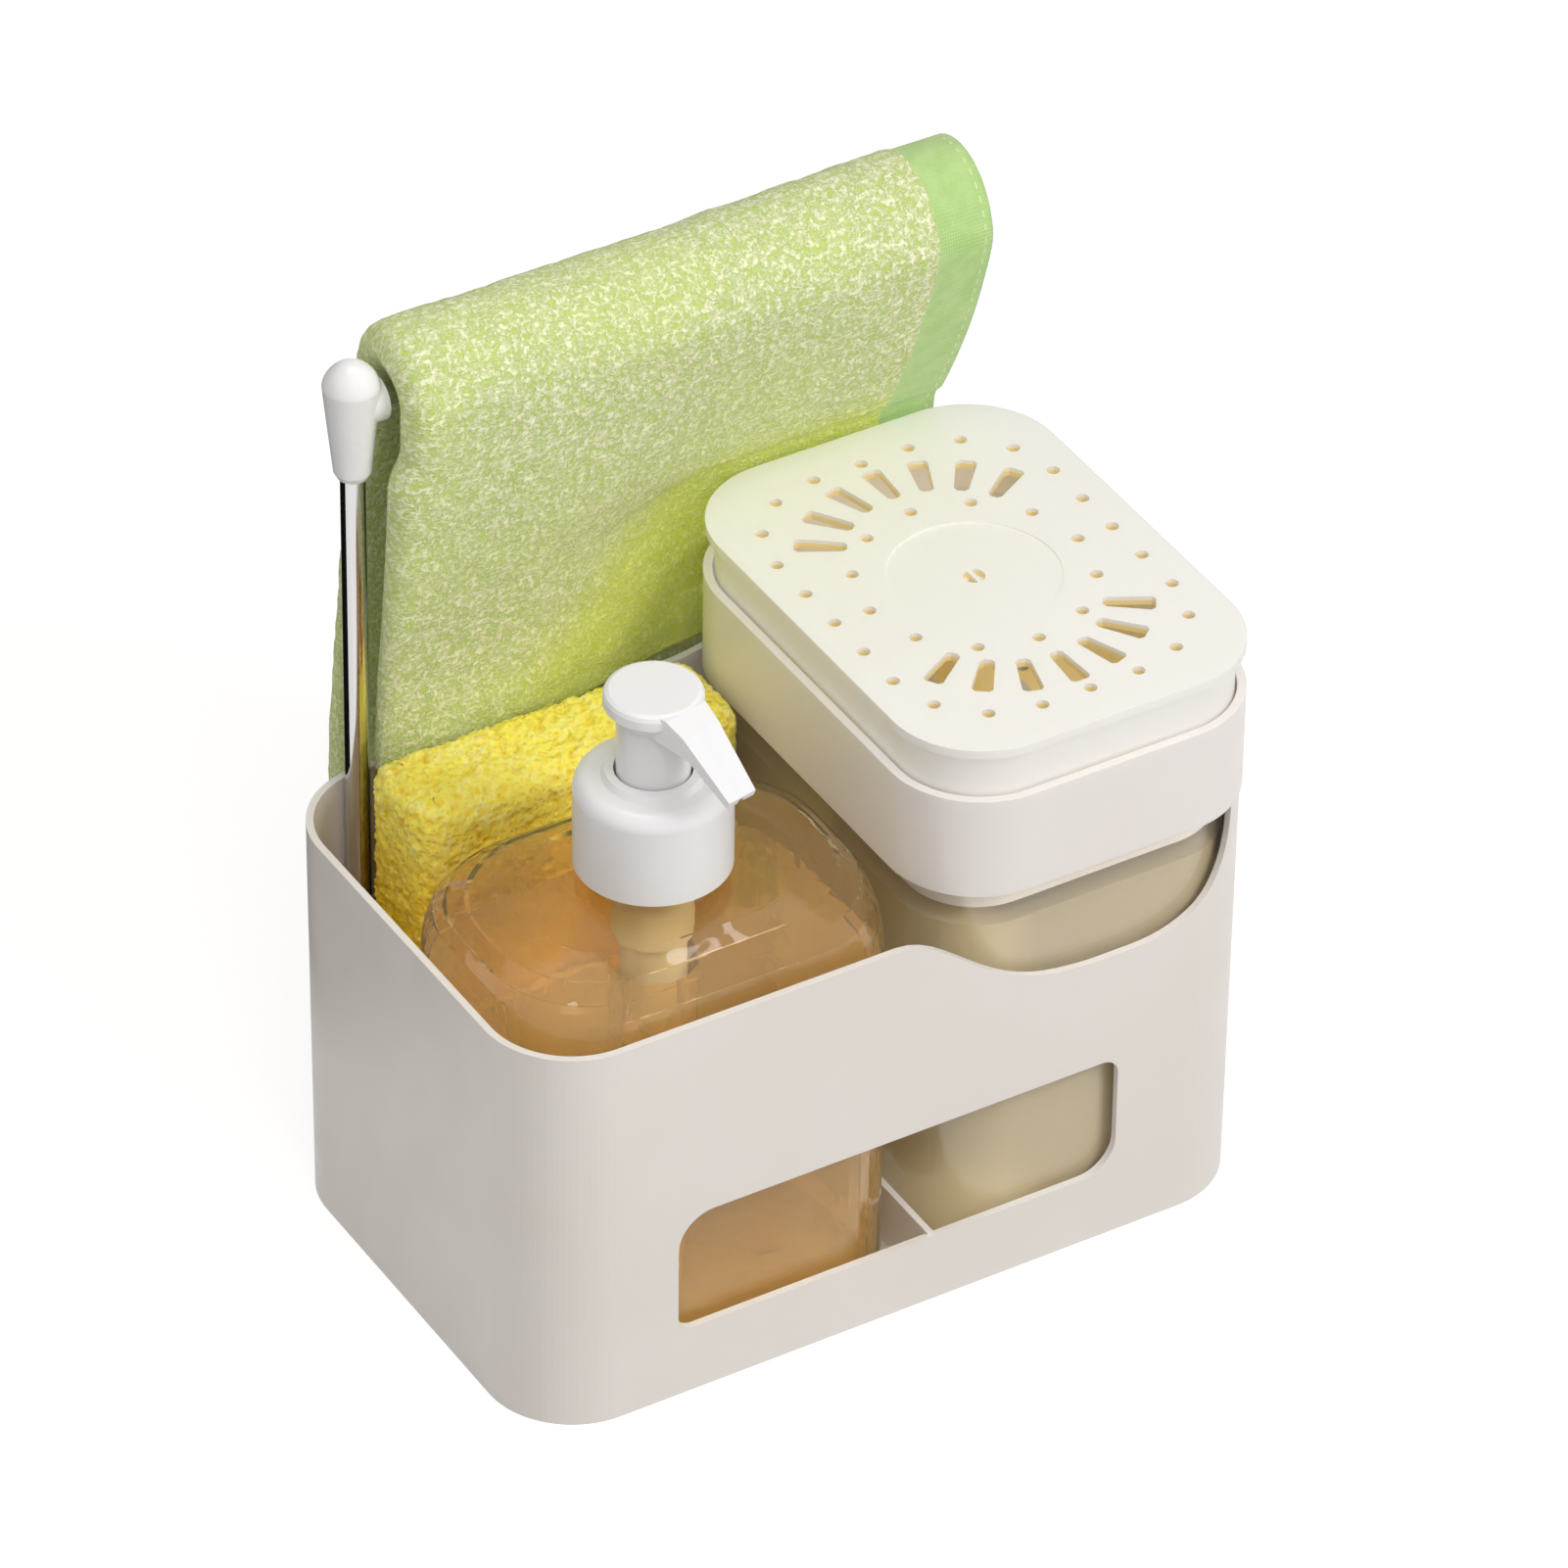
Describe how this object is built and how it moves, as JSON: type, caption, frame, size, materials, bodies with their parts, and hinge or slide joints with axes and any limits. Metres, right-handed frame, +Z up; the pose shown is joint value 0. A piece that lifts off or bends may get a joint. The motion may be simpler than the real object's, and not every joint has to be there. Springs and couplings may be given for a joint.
{
  "type": "soap pump caddy",
  "caption": "Off-white sink caddy holding an amber lotion pump bottle, a clear soap box with a perforated press plate, a yellow sponge and a green towel on a steel rail",
  "frame": {"origin": "middle of the tray's underside, on the counter", "axes": "+X along the front to the soap box, +Y to the back where the towel rail is, +Z up"},
  "size_m": [0.2006, 0.1396, 0.2366],
  "materials": {
    "tray_plastic": "satin moulded",
    "cream_plastic": "satin moulded",
    "white_plastic": "smooth moulded",
    "clear_plastic": "clear",
    "pale_liquid": "clear",
    "amber_plastic": "clear tinted",
    "amber_liquid": "clear tinted",
    "pump_plastic": "natural",
    "seal_rubber": "soft",
    "spring_steel": "drawn wire",
    "rail_steel": "polished",
    "elbow_plastic": "satin moulded",
    "terry": "terry loops",
    "foam": "open-cell foam"
  },
  "bodies": {
    "tray": {"tray_shell": "tray_plastic", "sponge": "foam", "soap_container": "clear_plastic", "container_liquid": "pale_liquid", "container_seal": "seal_rubber", "box_collar": "cream_plastic", "box_barrel": "pump_plastic", "box_barrel_nut": "pump_plastic", "box_bush": "pump_plastic", "box_spring": "spring_steel", "box_ball": "spring_steel", "box_dip_tube": "pump_plastic"},
    "bottle": {"bottle_shell": "amber_plastic", "bottle_liquid": "amber_liquid", "pump_collar": "white_plastic", "pump_gasket": "seal_rubber", "pump_barrel": "pump_plastic", "pump_bush": "pump_plastic", "pump_spring": "spring_steel", "pump_ball": "spring_steel", "bottle_dip_tube": "pump_plastic"},
    "pump_piston": {"pump_piston": "pump_plastic"},
    "pump_head": {"pump_head": "white_plastic", "pump_stem": "white_plastic"},
    "press_plate": {"press_plate": "cream_plastic", "box_stem": "pump_plastic", "box_piston": "pump_plastic"},
    "rail": {"rail_post": "rail_steel", "rail_elbow": "elbow_plastic", "rail_bar": "rail_steel", "rail_end_cap": "elbow_plastic", "towel": "terry"}
  },
  "joints": [
    {"name": "bottle_lift", "type": "slide", "parent": "tray", "child": "bottle", "axis": [0, 0, 1], "range_m": [0, 0.16]},
    {"name": "pump_press", "type": "slide", "parent": "bottle", "child": "pump_piston", "axis": [0, 0, -1], "range_m": [0, 0.0115], "stiffness_N_per_m": 700, "springref_m": -0.006, "deforming": ["pump_spring"]},
    {"name": "head_swivel", "type": "hinge", "parent": "pump_piston", "child": "pump_head", "pos_m": [-0.0447, -0.02065, 0.1477], "axis": [0, 0, 1], "continuous": true},
    {"name": "plate_press", "type": "slide", "parent": "tray", "child": "press_plate", "axis": [0, 0, -1], "range_m": [0, 0.0115], "stiffness_N_per_m": 900, "springref_m": -0.006, "deforming": ["box_spring"]},
    {"name": "rail_swing", "type": "hinge", "parent": "tray", "child": "rail", "pos_m": [-0.08, 0.056, 0], "axis": [0, 0, 1], "range_deg": [0, 90]}
  ]
}
